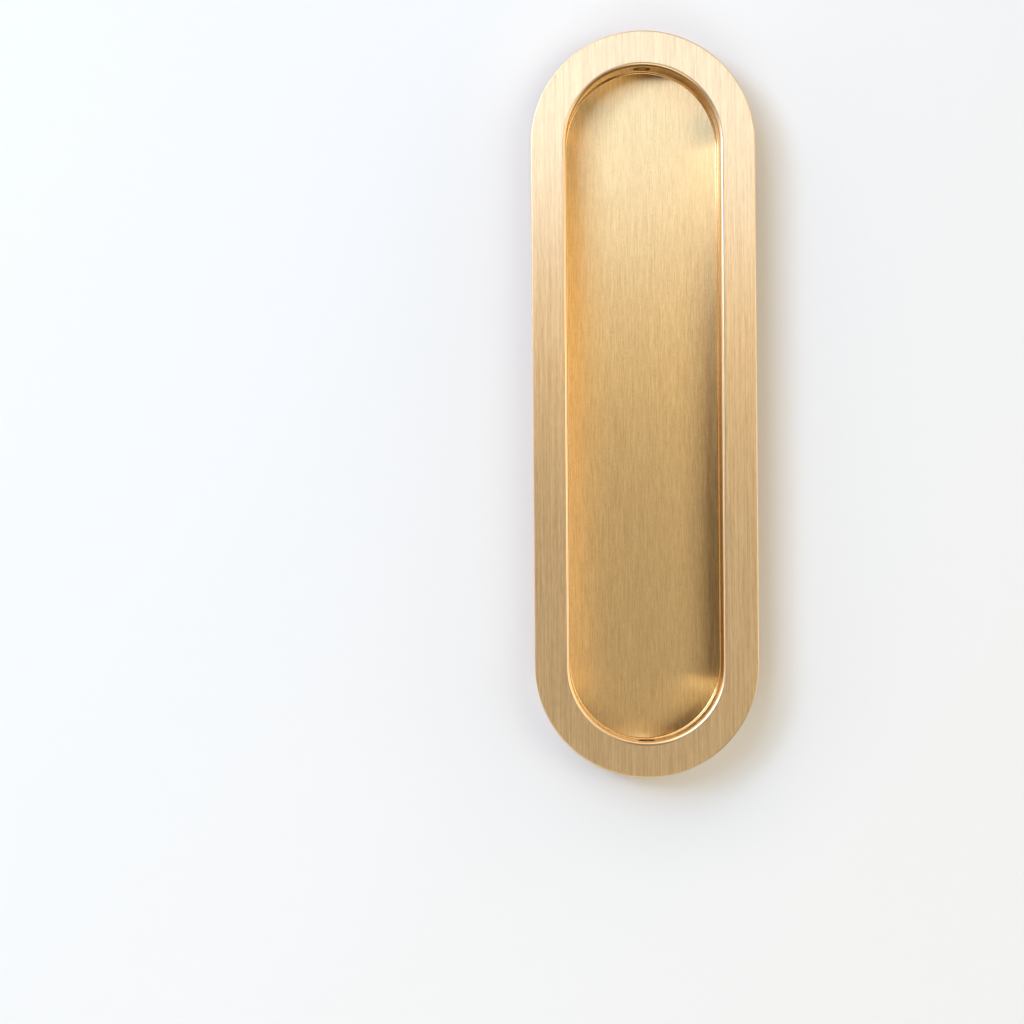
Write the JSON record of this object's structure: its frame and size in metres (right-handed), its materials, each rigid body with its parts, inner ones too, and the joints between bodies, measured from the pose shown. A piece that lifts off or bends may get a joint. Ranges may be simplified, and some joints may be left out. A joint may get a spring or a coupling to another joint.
{
  "type": "pocket door pull",
  "caption": "Long racetrack-shaped recessed pull for a pocket door, with a flat lapping face, a straight-walled finger recess and a slanted concealed screw hole in each end wall.",
  "frame": {"origin": "centre of the flat back of the cup, below the middle of the face", "axes": "+Z out of the face, away from the door; +Y along the pull, up the door as it is fitted; +X across the pull"},
  "size_m": [0.06, 0.2, 0.0125],
  "materials": {
    "brushed_brass": "straight brushed satin, uncoated"
  },
  "bodies": {
    "root": {"pull_body": "brushed_brass"}
  },
  "joints": []
}
